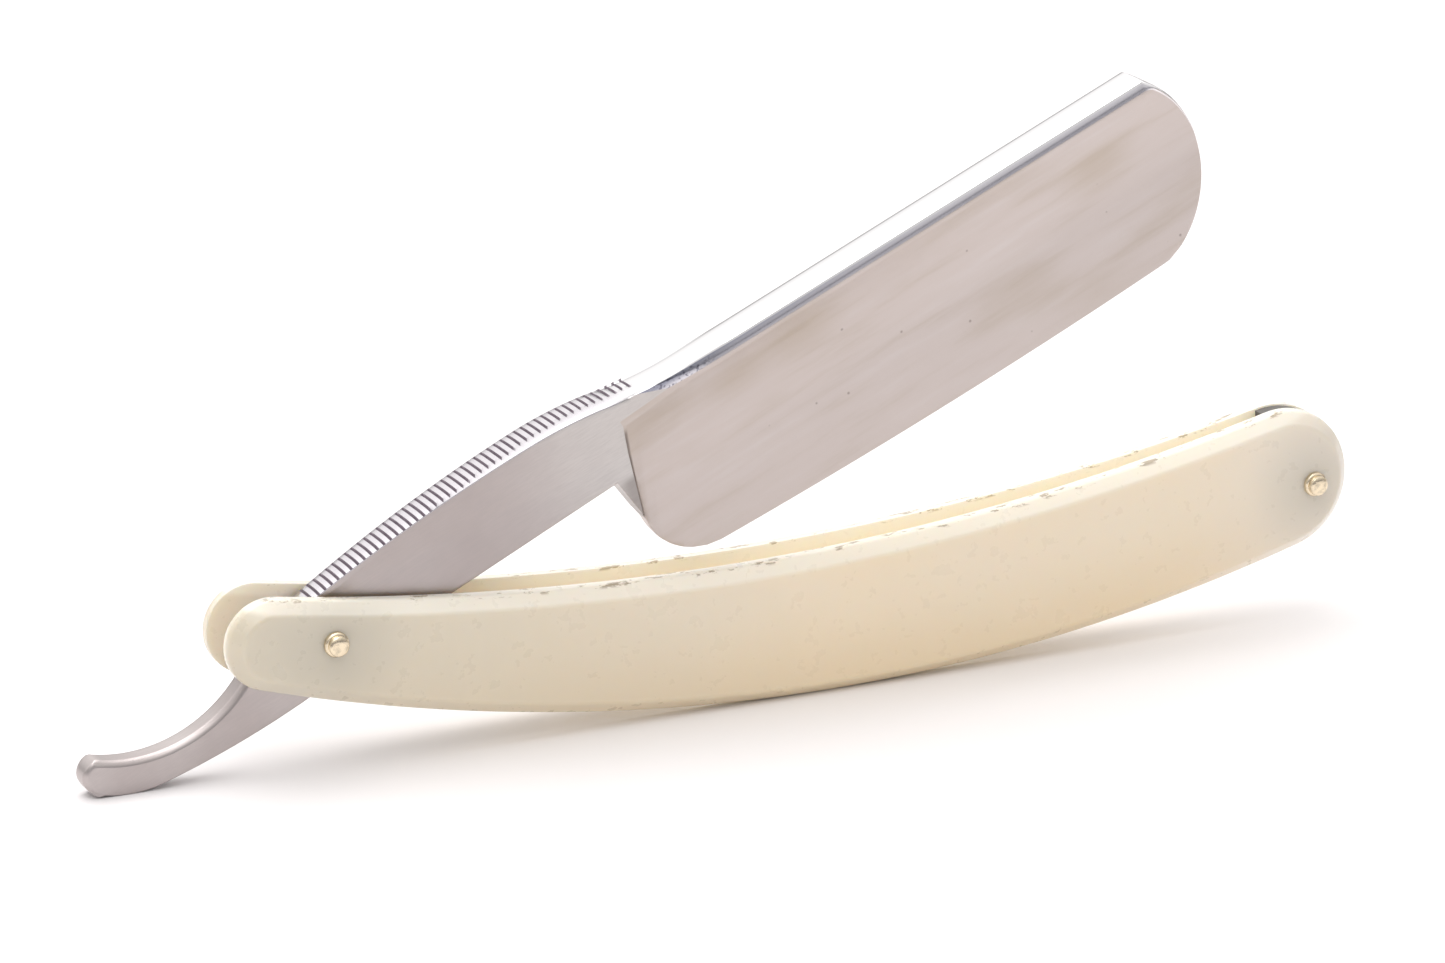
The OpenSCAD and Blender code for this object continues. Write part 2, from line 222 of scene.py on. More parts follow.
def makeSatinSteel():
    finish = newFinish("satinSteel")
    place = finish.coords(turn=bladeTilt, centre=pivotPoint)
    brushed = finish.noise(finish.stretched(place, (0.5, 3.0, 6.0)), 1.0, 4.0, 0.6)
    cloud = finish.noise(place, 0.12, 3.0, 0.5)
    x, z = finish.parts(place)[::2]
    colour = finish.mix(finish.ramp(cloud, 0.35, 0.7), (0.47, 0.42, 0.41), (0.53, 0.485, 0.475))
    # Painted reflection: lighter towards the shoulder, darker in the middle of the tang
    colour = finish.mix(finish.ramp(x, 20.0, 42.0, 0.0, 0.8), colour, (0.60, 0.58, 0.565))
    middle = finish.ramp(x, 0.0, 12.0) * finish.ramp(x, 36.0, 24.0, 0.0, 0.6)
    colour = finish.mix(middle, colour, (0.42, 0.37, 0.36))
    colour = finish.mix(finish.ramp(brushed, 0.3, 0.7, 0.0, 0.25), colour, (0.40, 0.37, 0.37))
    # Painted shade: darker low down just behind the shoulder, in the corner by the heel
    shoulder = x - 41.7 - (z - shoulderHeight) * shoulderSlant
    heelShade = finish.ramp(shoulder, -2.6, -0.3) * finish.ramp(z, -3.2, -4.6)
    colour = finish.mix(heelShade * 0.6, colour, (0.22, 0.19, 0.18))
    bump = finish.bump(brushed, 0.012, 0.5)
    return finish.surface(baseColor=colour, metallic=1.0, roughness=0.3 + 0.14 * brushed, normal=bump)


def makeSpineSteel():
    finish = newFinish("spineSteel")
    place = finish.coords(turn=bladeTilt, centre=pivotPoint)
    lines = finish.noise(finish.stretched(place, (0.04, 1.2, 1.2)), 1.0, 2.0, 0.5)
    pits = finish.noise(place, 3.0, 2.0, 0.5)
    x, z = finish.parts(place)[::2]
    worn = finish.ramp(pits, 0.55, 0.62) * finish.ramp(abs(x - 50.5), 2.0, 6.0, 1.0, 0.0)
    # Painted dark reflection: darker near the top edge, less so towards the nose
    shade = finish.ramp(z, 3.7, 4.7) * finish.ramp(x, 50.0, 96.0, 1.0, 0.0)
    colour = finish.mix(lines, (0.66, 0.65, 0.70), (0.72, 0.70, 0.74))
    colour = finish.mix(shade * 0.85, colour, (0.24, 0.25, 0.32))
    # Painted reflection: lighter low on the strip, from x 54 on
    paintedReflection = finish.ramp(z, 3.75, 3.5, 0.0, 0.7) * finish.ramp(x, 54.0, 60.0)
    colour = finish.mix(paintedReflection, colour, (0.85, 0.82, 0.82))
    colour = finish.mix(worn * 0.7, colour, (0.10, 0.10, 0.14))
    return finish.surface(baseColor=colour, metallic=1.0, roughness=0.24 + 0.03 * lines)


def makeShadedGrooveSteel():
    finish = newFinish("shadedGrooveSteel")
    place = finish.coords(turn=bladeTilt, centre=pivotPoint)
    # The grooves' dark colour is painted shade inside them, mottled by grime noise
    grime = finish.noise(place, 1.5, 3.0, 0.6)
    colour = finish.mix(grime, (0.20, 0.165, 0.20), (0.44, 0.39, 0.43))
    return finish.surface(baseColor=colour, metallic=0.8, roughness=0.35 + 0.2 * grime)


def makeCelluloid(name, pinShadeCentres, belly, top):
    # The belly and the top are arcs, each a centre in millimetres from the pivot and a radius
    finish = newFinish(name)
    place = finish.coords(centre=pivotPoint)
    x, y = finish.parts(place)[:2]
    cloud = finish.noise(place, 0.035, 3.0, 0.5)
    fine = finish.noise(place, 0.5, 3.0, 0.6)
    colour = finish.mix(finish.ramp(cloud, 0.3, 0.7, 0.0, 0.3), (0.87, 0.76, 0.57), (0.82, 0.77, 0.67))
    # Deeper in colour towards the belly, and paler and greyer towards the wedge end, where the grey is
    # painted shade of the dark wedge seen through the plastic
    flat = finish.stretched(place, (1, 0, 1))
    low = finish.ramp(belly[1] - finish.reach(flat, belly[0]), 0.5, 13.0, 1.0, 0.0)
    colour = finish.mix(0.6 * low, colour, (0.84, 0.68, 0.44))
    colour = finish.mix(finish.ramp(x, 104.0, 132.0, 0.0, 0.75), colour, (0.80, 0.745, 0.67))
    # Lighter and warm in the gap between the scales, painted light for the light that comes through the
    # plastic; greyer towards the pivot end, painted shade of the dark tang seen through it
    inner = abs(y) - 2.55 + 0.0129 * x
    gap = finish.ramp(inner, 0.5, 1.1, 1.0, 0.0)
    colour = finish.mix(0.8 * gap, colour, (0.98, 0.90, 0.76))
    tangShade = finish.ramp(x, 62.0, -8.0, 0.0, 0.9, "LINEAR") * (1 - 0.45 * gap)
    colour = finish.mix(tangShade, colour, (0.66, 0.61, 0.50))
    # Paler along the top edge, a painted highlight on the top bevel; some dirt has got in along it
    fromTop = finish.reach(flat, top[0]) - top[1]
    colour = finish.mix(finish.ramp(fromTop, 1.1, 1.9, 0.7, 0.0), colour, (0.92, 0.88, 0.79))
    grime = finish.noise(finish.stretched(place, (0.35, 1.0, 1.0)), 0.9, 4.0, 0.7)
    dirt = finish.ramp(fromTop, 0.15, 0.5, 1.0, 0.0) * finish.ramp(grime, 0.56, 0.62)
    colour = finish.mix(dirt * 0.75, colour, (0.30, 0.22, 0.13))
    specks = finish.node("ShaderNodeTexVoronoi", {"feature": "F1"},
                         {"Vector": place, "Scale": 0.075, "Randomness": 1.0}, "Distance")
    colour = finish.mix(finish.ramp(specks, 0.015, 0.035, 1.0, 0.0) * 0.5, colour, (0.3, 0.27, 0.22))
    # Painted shade round each pin, for the metal behind seen through the plastic
    for centre in pinShadeCentres:
        colour = finish.mix(finish.spot(place, centre, 1.0, 11.0) * 0.5, colour, (0.52, 0.49, 0.42))
    # A weak glow in the gap stands for the light that comes through the plastic
    through = finish.mix(gap * finish.ramp(x, 2.0, 30.0), (0, 0, 0), (1.0, 0.88, 0.66))
    return finish.surface(
        baseColor=colour, roughness=0.22 + 0.14 * fine, normal=finish.bump(fine, 0.02, 0.25),
        subsurfaceWeight=0.5, subsurfaceRadius=(1.0, 0.8, 0.55), subsurfaceScale=0.002,
        coatWeight=0.5, coatRoughness=0.12, emissionColor=through, emissionStrength=0.09)


def makeGold(name, colour, dull):
    finish = newFinish(name)
    place = finish.coords(centre=pivotPoint)
    dents = finish.noise(place, 1.6, 2.0, 0.5)
    tarnish = finish.noise(place, 0.9, 3.0, 0.6)
    shade = finish.mix(finish.ramp(tarnish, 0.45, 0.75), colour, tuple(0.6 * c for c in colour))
    bump = finish.bump(dents, 0.08, 0.6)
    return finish.surface(baseColor=shade, metallic=1.0, roughness=dull + 0.15 * tarnish, normal=bump)


def makeWedgeFinish():
    finish = newFinish("wedgeFinish")
    place = finish.coords(centre=pivotPoint)
    cloud = finish.noise(place, 0.4, 3.0, 0.6)
    colour = finish.mix(cloud, (0.075, 0.07, 0.068), (0.2, 0.185, 0.165))
    bump = finish.bump(cloud, 0.05, 0.5)
    return finish.surface(baseColor=colour, roughness=0.5 + 0.2 * cloud, normal=bump)


groundSteel = makeGroundSteel()
polishedSteel = makePolishedSteel()
satinSteel = makeSatinSteel()
spineSteel = makeSpineSteel()
shadedGrooveSteel = makeShadedGrooveSteel()
paleGold = makeGold("paleGold", (0.86, 0.74, 0.55), 0.16)
washerBrass = makeGold("washerBrass", (0.7, 0.55, 0.3), 0.3)
wedgeFinish = makeWedgeFinish()
print("finishes ready")


def finishPiece(name, bm, place, finishes, body, node, sharpAngle=50.0):
    bmesh.ops.remove_doubles(bm, verts=bm.verts, dist=0.0005)
    bmesh.ops.dissolve_degenerate(bm, edges=bm.edges, dist=0.0004)
    bmesh.ops.recalc_face_normals(bm, faces=bm.faces)
    bmesh.ops.transform(bm, matrix=place, verts=bm.verts)
    for face in bm.faces:
        face.smooth = True
    for edge in bm.edges:
        if edge.is_manifold and edge.calc_face_angle() > math.radians(sharpAngle):
            edge.smooth = False
    mesh = bpy.data.meshes.new(name)
    bm.to_mesh(mesh)
    bm.free()
    for finish in finishes:
        mesh.materials.append(finish)
    piece = bpy.data.objects.new(name, mesh)
    scene.collection.objects.link(piece)
    normals = piece.modifiers.new("evenNormals", "WEIGHTED_NORMAL")
    normals.keep_sharp = True
    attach(piece, body)
    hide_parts(node)
    print(name, "made")


def circleCrossing(c1, r1, c2, r2, side):
    way = c2 - c1
    d = way.length
    along = (r1 * r1 - r2 * r2 + d * d) / (2 * d)
    off = math.sqrt(r1 * r1 - along * along)
    u = way / d
    return c1 + along * u + side * off * Vector((-u.y, u.x))


def heading(v):
    return math.atan2(v.y, v.x)


def smoothstep(low, high, value):
    t = min(max((value - low) / (high - low), 0.0), 1.0)
    return t * t * (3 - 2 * t)


def between(value, places, values):
    # Straight lines through the given points
    for a, b, va, vb in zip(places, places[1:], values, values[1:]):
        if value <= b:
            return va + (vb - va) * max(value - a, 0.0) / (b - a)
    return values[-1]


# Blade: a sheet wrapped round it, a column for each station along it and a row for each line round it
bladeSizes = {
    "spineHeight": 5.0, "bladeHeight": 23.9, "bladeLength": 81.0, "tangLength": 40.0,
    "creaseDrop": 1.65, "creaseHalf": 2.96, "spineLean": 0.12, "spineCurve": 0.055, "crown": 0.2,
    "web": 0.6, "edge": 0.12, "grindRadius": 30.0, "grindLow": -9.0,
    "smileRadius": 800.0, "smileAt": 48.0, "noseRadius": 14.5, "noseDrop": 5.4, "heelRadius": 8.0,
    "tangHalf": 1.85, "tailHalf": 1.6, "flareStart": 1.2, "flare": 0.16, "widening": 0.019,
    "notch": 1.4, "tangDrop": 3.6, "filletLength": 2.8,
    "thumbHeight": 2.1, "thumbAt": 31.0, "thumbRear": 200.0, "thumbFront": 54.0, "blend": 49.0,
    "tailLength": 32.2, "tailTop": 17.0, "tailDip": 2.1,
    "tailUnder": 110.0, "tailDrop": 6.0, "tailEnd": 14.0,
    "tailRound": 2.2, "tailTipAt": -0.3, "tailTipIn": 2.5, "tailFootIn": 1.5, "tailTurnIn": 8.2,
    "tailHollowIn": 13.1, "tailLowIn": 21, "tangStart": 7.4, "noseSoften": 1.4,
    "shoulderTop": 41.5, "shoulderCrease": 41.95, "shoulderFoot": 39.75, "shoulderFootDrop": 8.77,
    "stripStart": 44.5, "stripBlend": 9, "fullHollow": 60,
    "grooves": 49, "groovePitch": 0.93, "grooveStart": 0.6, "grooveDepth": 0.28, "grooveHalf": 0.18,
    "corner": 0.13, "spineCorner": 0.3, "tailChamfer": 0.6,
}


def makeBlade():
    s = bladeSizes
    ground, polished, satin, spine, groove = range(5)
    edgeLow = s["spineHeight"] - s["bladeHeight"]
    smileC = Vector((s["tangLength"] + s["smileAt"], edgeLow + s["smileRadius"]))
    heelX = s["tangLength"] + s["heelRadius"]
    heelFall = math.sqrt((s["smileRadius"] - s["heelRadius"]) ** 2 - (heelX - smileC.x) ** 2)
    heelC = Vector((heelX, smileC.y - heelFall))
    heelTo = heading(heelC - smileC)
    noseC = Vector((s["tangLength"] + s["bladeLength"] - s["noseRadius"], -s["noseDrop"]))
    noseLow = circleCrossing(noseC, s["noseRadius"], smileC, s["smileRadius"], -1)
    noseTopTurn = math.asin((s["spineHeight"] + s["noseDrop"]) / s["noseRadius"])
    noseTopX = noseC.x + s["noseRadius"] * math.cos(noseTopTurn)
    noseEnd = noseC.x + s["noseRadius"]

    thumbTop = Vector((s["thumbAt"], s["spineHeight"] + s["thumbHeight"]))
    rearC = thumbTop - Vector((0, s["thumbRear"]))
    frontC = thumbTop - Vector((0, s["thumbFront"]))
    blendReach = s["thumbFront"] + s["blend"]
    blendTurn = math.acos(1 - s["thumbHeight"] / blendReach)
    frontEnd = s["thumbAt"] + s["thumbFront"] * math.sin(blendTurn)
    blendC = Vector((s["thumbAt"] + blendReach * math.sin(blendTurn), s["spineHeight"] + s["blend"]))
    tailTopC = Vector((-s["tailLength"] + s["tailHollowIn"], s["tailTop"] - s["tailDip"]))
    tailRoot = circleCrossing(tailTopC, s["tailTop"], rearC, s["thumbRear"], 1)
    tailTipX = -s["tailLength"] + s["tailTipIn"]
    tailUnderC = Vector((-s["tailLength"] + s["tailLowIn"], s["tailUnder"] - s["tailDrop"]))

    def lower(c, r, x):
        return c.y - math.sqrt(r * r - (x - c.x) ** 2)

    def upper(c, r, x):
        return c.y + math.sqrt(r * r - (x - c.x) ** 2)

    tailTip = lower(tailTopC, s["tailTop"], tailTipX)
    turnX = -s["tailLength"] + s["tailTurnIn"]
    turn = Vector((turnX, lower(tailUnderC, s["tailUnder"], turnX)))
    tailEndC = turn + s["tailEnd"] * (tailUnderC - turn) / s["tailUnder"]
    footX = -s["tailLength"] + s["tailFootIn"]
    foot = lower(tailEndC, s["tailEnd"], footX)
    startX = s["tangStart"]
    startZ = lower(tailUnderC, s["tailUnder"], startX)
    notchX = s["tangLength"] - s["notch"]

    tailLeft = -s["tailLength"] + 0.05
    tailTipC = Vector((tailLeft + s["tailRound"], s["tailTipAt"]))

    def rounding(x, end):
        return math.sqrt(max(1 - (1 - (x - tailLeft) / (end - tailLeft)) ** 2, 0.0))

    def tailRelief(x, z):
        # The chamfer goes on round the tail's end
        if x > tailTipC.x:
            return 0.0
        inside = s["tailRound"] - (Vector((x, z)) - tailTipC).length
        return max(s["tailChamfer"] * smoothstep(foot, s["tailTipAt"], z) - max(inside, 0.0), 0.0)

    def topPoint(u):
        if u < tailTipX:
            return Vector((u, s["tailTipAt"] + (tailTip - s["tailTipAt"]) * rounding(u, tailTipX)))
        if u < tailRoot.x:
            return Vector((u, lower(tailTopC, s["tailTop"], u)))
        if u < s["thumbAt"]:
            return Vector((u, upper(rearC, s["thumbRear"], u)))
        if u < frontEnd:
            return Vector((u, upper(frontC, s["thumbFront"], u)))
        if u < blendC.x:
            return Vector((u, lower(blendC, s["blend"], u)))
        if u < noseTopX:
            return Vector((u, s["spineHeight"]))
        turned = noseTopTurn * (1 - (u - noseTopX) / (noseEnd - noseTopX))
        return noseC + s["noseRadius"] * Vector((math.cos(turned), math.sin(turned)))

    heelEndX = heelC.x + s["heelRadius"] * math.cos(heelTo)

    def rawBottom(u):
        if u < footX:
            return Vector((u, s["tailTipAt"] + (foot - s["tailTipAt"]) * rounding(u, footX)))
        if u < turnX:
            return Vector((u, lower(tailEndC, s["tailEnd"], u)))
        if u < startX:
            return Vector((u, lower(tailUnderC, s["tailUnder"], u)))
        if u < notchX:
            return Vector((u, between(u, [startX, notchX], [startZ, -s["tangDrop"]])))
        if u < s["tangLength"]:
            return Vector((u, between(u, [notchX, s["tangLength"]], [-s["tangDrop"], heelC.y])))
        if u < heelEndX:
            turned = -math.pi + (heelTo + math.pi) * (u - s["tangLength"]) / (heelEndX - s["tangLength"])
            return heelC + s["heelRadius"] * Vector((math.cos(turned), math.sin(turned)))
        if u < noseLow.x:
            return Vector((u, lower(smileC, s["smileRadius"], u)))
        turned = heading(noseLow - noseC) * (1 - (u - noseLow.x) / (noseEnd - noseLow.x))
        return noseC + s["noseRadius"] * Vector((math.cos(turned), math.sin(turned)))

    def bottomPoint(u):
        # The corner between the edge and the nose is rounded off
        part = max(1 - abs(u - noseLow.x) / (2 * s["noseSoften"]), 0.0)
        if part == 0:
            return rawBottom(u)
        near = [rawBottom(u + step * s["noseSoften"] * part) for step in (-1, -0.5, 0, 0.5, 1)]
        return sum(near, Vector((0, 0))) / len(near)

    shoulderTop = s["shoulderTop"]
    shoulderCrease = s["shoulderCrease"]
    shoulderFoot = s["shoulderFoot"]
    stripStart = s["stripStart"]
    fullHollow = s["fullHollow"]
    creaseZ = s["spineHeight"] - s["creaseDrop"]

    def bottomAlong(u):
        # The lines across the blade lean back at the shoulder, and stand upright further along
        above = [tailLeft, tailTipX, -26, notchX, shoulderTop, stripStart, 52, fullHollow, 100]
        above += [noseTopX, noseEnd]
        below = [tailLeft, footX, -26, notchX, shoulderFoot, 43.6, 50.5, 59, 100, noseLow.x, noseEnd]
        return between(u, above, below)

    def creasePoint(u, top, bottom):
        if u < 36:
            return top.lerp(bottom, 0.33)
        if u < fullHollow:
            along = [36, shoulderTop, stripStart, 52, fullHollow]
            x = between(u, along, [36, shoulderCrease, 50.0, 54.2, 59.93])
            z = between(x, [36, shoulderCrease, 50.0, 54.0], [3.4, shoulderHeight, creaseZ - 0.1, creaseZ])
            return Vector((x, z))
        part = (top.y - min(creaseZ, top.y - 0.9)) / max(top.y - bottom.y, 0.05)
        return top.lerp(bottom, min(part, 0.4))

    def tangHalf(x, z):
        core = between(x, [-s["tailLength"] - 1, -3.2, 200], [s["tailHalf"], s["tangHalf"], s["tangHalf"]])
        flared = s["flareStart"] + s["flare"] * z + s["widening"] * x
        return 0.5 * (core + flared + math.sqrt((core - flared) ** 2 + 0.004))

    def upperHalf(u, x, z, crease):
        # Half thickness above the crease: the tang's face runs out into the side of the spine
        above = max(z - crease, 0)
        strip = s["creaseHalf"] - s["spineLean"] * above - s["spineCurve"] * above ** 2
        part = smoothstep(stripStart, stripStart + s["stripBlend"], u)
        return tangHalf(x, z) * (1 - part) + strip * part

    def groundHalf(z, crease, creaseHalf):
        half = s["web"] / 2
        if z < s["grindLow"]:
            return between(z, [edgeLow, s["grindLow"]], [s["edge"] / 2, half])
        span = crease - s["grindLow"]
        radius = s["grindRadius"]
        depth = radius - math.sqrt(radius ** 2 - (z - s["grindLow"]) ** 2)
        full = radius - math.sqrt(radius ** 2 - span ** 2)
        return half + (creaseHalf - half) * depth / full

    def halfAt(u, x, z, creasePlace):
        if u >= fullHollow:
            creasePlace = Vector((x, creaseZ))
        if z >= creasePlace.y or u <= shoulderTop:
            return upperHalf(u, x, z, creasePlace.y)
        creaseHalf = upperHalf(u, creasePlace.x, creasePlace.y, creasePlace.y)
        ground = groundHalf(z, creasePlace.y, creaseHalf)
        slant = (shoulderCrease - shoulderFoot) / (shoulderHeight + s["shoulderFootDrop"])
        shoulderX = shoulderCrease + (z - shoulderHeight) * slant
        part = min(max((x - shoulderX) / s["filletLength"], 0.0), 1.0)
        part = math.sqrt(1 - (1 - part) ** 2)
        return tangHalf(shoulderX, z) * (1 - part) + ground * part if part < 1 else ground

    def grooveAt(u, y, half):
        place = (u - s["grooveStart"]) / s["groovePitch"]
        index = round(place)
        if index < 0 or index >= s["grooves"]:
            return 0.0
        depth = s["grooveDepth"] * max(0.0, 1 - abs(place - index) * s["groovePitch"] / s["grooveHalf"])
        # The grooves stop short of the front edge towards the blade
        short = between(u, [12, 44, 200], [-0.8, 2.2, 2.2])
        return depth * smoothstep(0.0, 0.7, y + half - short)

    across = [i / 5 - 1 for i in range(11)]
    upperRows = [0.0, 0.25, 0.5, 0.75]
    lowerRows = [0.0, 0.02, 0.05] + [0.09 + 0.91 * (i / 24) for i in range(25)]

    def ring(u):
        top = topPoint(u)
        bottom = bottomPoint(bottomAlong(u))
        crease = creasePoint(u, top, bottom)
        wide = halfAt(u, top.x, top.y, crease)
        low = halfAt(u, bottom.x, bottom.y, crease)
        tall = max((top - bottom).length, 0.001)
        cuts = [s["tailChamfer"]] * 2 + [s["corner"]] * 2 + [s["spineCorner"]] * 2
        chamfer = between(u, [-27, -10, -5, 40, 46, 200], cuts)
        cut = min(chamfer, 0.2 * tall, 0.4 * wide) if u > tailTipX - 0.01 else min(0.03, 0.1 * tall)
        soft = 0.5 if u < -5 else 0.29
        edgeDrop = min(s["crown"] * smoothstep(-8, 2, u), 0.05 * tall)
        lowCut = min(s["corner"], 0.3 * low, 0.3 * tall)
        points = []
        for part in across:
            y = part * (wide - cut)
            z = top.y - edgeDrop * abs(part) ** 3 - grooveAt(u, y, wide)
            points.append((top.x, y, z))
        fall = crease - top
        down = fall.normalized() if fall.length > 0.001 else Vector((0, -1))
        side = []
        for k in (soft, 1.0):
            place = top + down * (cut * k + edgeDrop * 0.9)
            side.append((place.x, wide - cut + cut * (1 - soft if k < 1 else 1.0), place.y))
        first = top + down * (cut + edgeDrop * 0.9)
        for part in upperRows[1:]:
            place = first.lerp(crease, part)
            lowest = Vector((crease.x, min(crease.y, place.y)))
            side.append((place.x, halfAt(u, place.x, place.y, lowest), place.y))
        rise = crease - bottom
        up = rise.normalized() if rise.length > 0.001 else Vector((0, 1))
        last = bottom + up * lowCut
        for part in lowerRows:
            place = crease.lerp(last, part)
            side.append((place.x, halfAt(u, place.x, place.y, crease), place.y))
        place = bottom + up * lowCut * 0.29
        side.append((place.x, low - lowCut * 0.29, place.y))
        side.append((bottom.x, low - lowCut, bottom.y))
        points += side
        points.append((bottom.x, 0.0, bottom.y))
        points += [(x, -y, z) for x, y, z in reversed(side)]
        if u < tailTipX - 0.01:
            points = [(x, y * (1 - tailRelief(x, z) / wide), z) for x, y, z in points]
        return points

    stations = [tailLeft + (tailTipX - tailLeft) * (1 - math.cos(i * math.pi / 24)) for i in range(13)]
    stations += [tailTipX + (tailRoot.x - tailTipX) * i / 34 for i in range(1, 35)]
    stations += [tailRoot.x + (0.3 - tailRoot.x) * i / 8 for i in range(1, 8)]
    grooveEnd = s["grooveStart"] + s["grooves"] * s["groovePitch"]
    stations += [s["grooveStart"] + i * s["groovePitch"] + step * s["grooveHalf"]
                 for i in range(s["grooves"]) for step in (-1, 0, 1)]
    stations += [shoulderTop + step for step in (0, 0.03, 0.08, 0.16)] + [stripStart, notchX]
    stations += [grooveEnd + (noseTopX - 1 - grooveEnd) * i / 56 for i in range(57)]
    stations += [noseTopX - 0.5, noseTopX - 0.1]
    stations += [noseTopX + (noseEnd - noseTopX) * i / 18 for i in range(18)] + [noseEnd - 0.06]
    stations = sorted(set(round(u, 4) for u in stations))
    count = len(ring(0.0))

    bm = bmesh.new()
    bmesh.ops.create_grid(bm, x_segments=len(stations) - 1, y_segments=count, size=0.5)
    rings = [ring(u) for u in stations]
    columns = len(stations) - 1
    rowsOf = {}
    for vertex in list(bm.verts):
        i = round((vertex.co.x + 0.5) * columns)
        j = round((vertex.co.y + 0.5) * count)
        rowsOf[vertex] = (i, j % count)
        vertex.co = rings[i][j % count]
    stripRow = len(across) + 2 + len(upperRows) - 1
    mirrorRow = count - 1 - (stripRow - len(across))
    bottomRow = stripRow + len(lowerRows) - 1
    for face in bm.faces:
        places = [rowsOf[v] for v in face.verts]
        u = stations[min(i for i, j in places)]
        nextU = stations[max(i for i, j in places)]
        rows = sorted(j for i, j in places)
        lowRow, highRow = rows[0], rows[-1]
        if highRow - lowRow > 1:
            lowRow = highRow
        middle = face.calc_center_median()
        if lowRow < len(across) + 1 or lowRow >= count - 2:
            face.material_index = polished if u > -6 else satin
            cut = grooveAt((u + nextU) / 2, middle.y, tangHalf(u, s["spineHeight"]))
            if lowRow < len(across) and cut > 0.08:
                face.material_index = groove
        elif bottomRow <= lowRow <= bottomRow + 5:
            face.material_index = satin if u < shoulderTop else ground
        elif lowRow < stripRow or lowRow >= mirrorRow + 1:
            face.material_index = spine if u >= stripStart - 0.01 else satin
        else:
            face.material_index = ground if u >= shoulderTop - 0.01 else satin
    for edge in bm.edges:
        ends = [rowsOf[v] for v in edge.verts]
        if ends[0][1] == ends[1][1] and ends[0][1] in (stripRow, mirrorRow + 1):
            if min(stations[i] for i, j in ends) >= shoulderTop - 0.01:
                edge.smooth = False
    bmesh.ops.remove_doubles(bm, verts=bm.verts, dist=0.0005)
    ends = bmesh.ops.holes_fill(bm, edges=[e for e in bm.edges if e.is_boundary], sides=0)["faces"]
    for face in ends:
        face.material_index = satin if face.calc_center_median().x < 0 else ground
    steels = [groundSteel, polishedSteel, satinSteel, spineSteel, shadedGrooveSteel]
    finishPiece("razorBlade", bm, bladePlace, steels, "blade", "blade")


makeBlade()


# Scales: an outline drawn by turning a point about four centres, given thickness and soft outer edges
scaleSizes = {
    "thickness": 2.8, "bevel": 1.5, "soften": 0.34, "innerEdge": 0.12,
    "pivotEnd": (-7.2, 0.5), "pivotRadius": 5.4, "wedgeEndIn": 3.6, "wedgeRadius": 8.8,
    "belly": 240.0, "hollowTop": 330.0, "pivotGap": 5.1, "wedgeGap": 1.8, "bow": 0.45,
    "stainOut": 4.6, "pinShadeRise": 1.1, "cutFrom": -12.6, "cutStep": 3.65, "cuts": 39,
}


